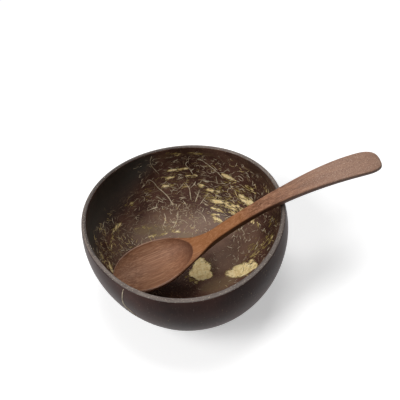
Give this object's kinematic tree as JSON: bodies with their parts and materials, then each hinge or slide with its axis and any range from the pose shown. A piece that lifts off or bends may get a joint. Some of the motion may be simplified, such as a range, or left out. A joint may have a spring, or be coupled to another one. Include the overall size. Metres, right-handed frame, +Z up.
{
  "type": "coconut shell bowl",
  "caption": "Half coconut shell as a round-bottomed bowl with a sanded flat foot, and a loose carved wooden spoon whose arched handle rests on the rim.",
  "frame": {"origin": "middle of the flat sanded face underneath the shell, on the surface that the bowl stands on", "axes": "+Z up out of the bowl, +X the side over whose rim the spoon's handle leaves, +Y away from the side that the bowl is seen from"},
  "size_m": [0.2009, 0.1401, 0.0876],
  "materials": {
    "coconut_shell": "sanded and oiled coconut shell, satin",
    "spoon_wood": "carved reddish-brown hardwood, oiled, satin"
  },
  "bodies": {
    "bowl": {"bowl_shell": "coconut_shell"},
    "spoon": {"spoon": "spoon_wood"}
  },
  "joints": [
    {"name": "spoon_lift", "type": "slide", "parent": "bowl", "child": "spoon", "axis": [0, 0, 1], "range_m": [0, 0.09]}
  ]
}
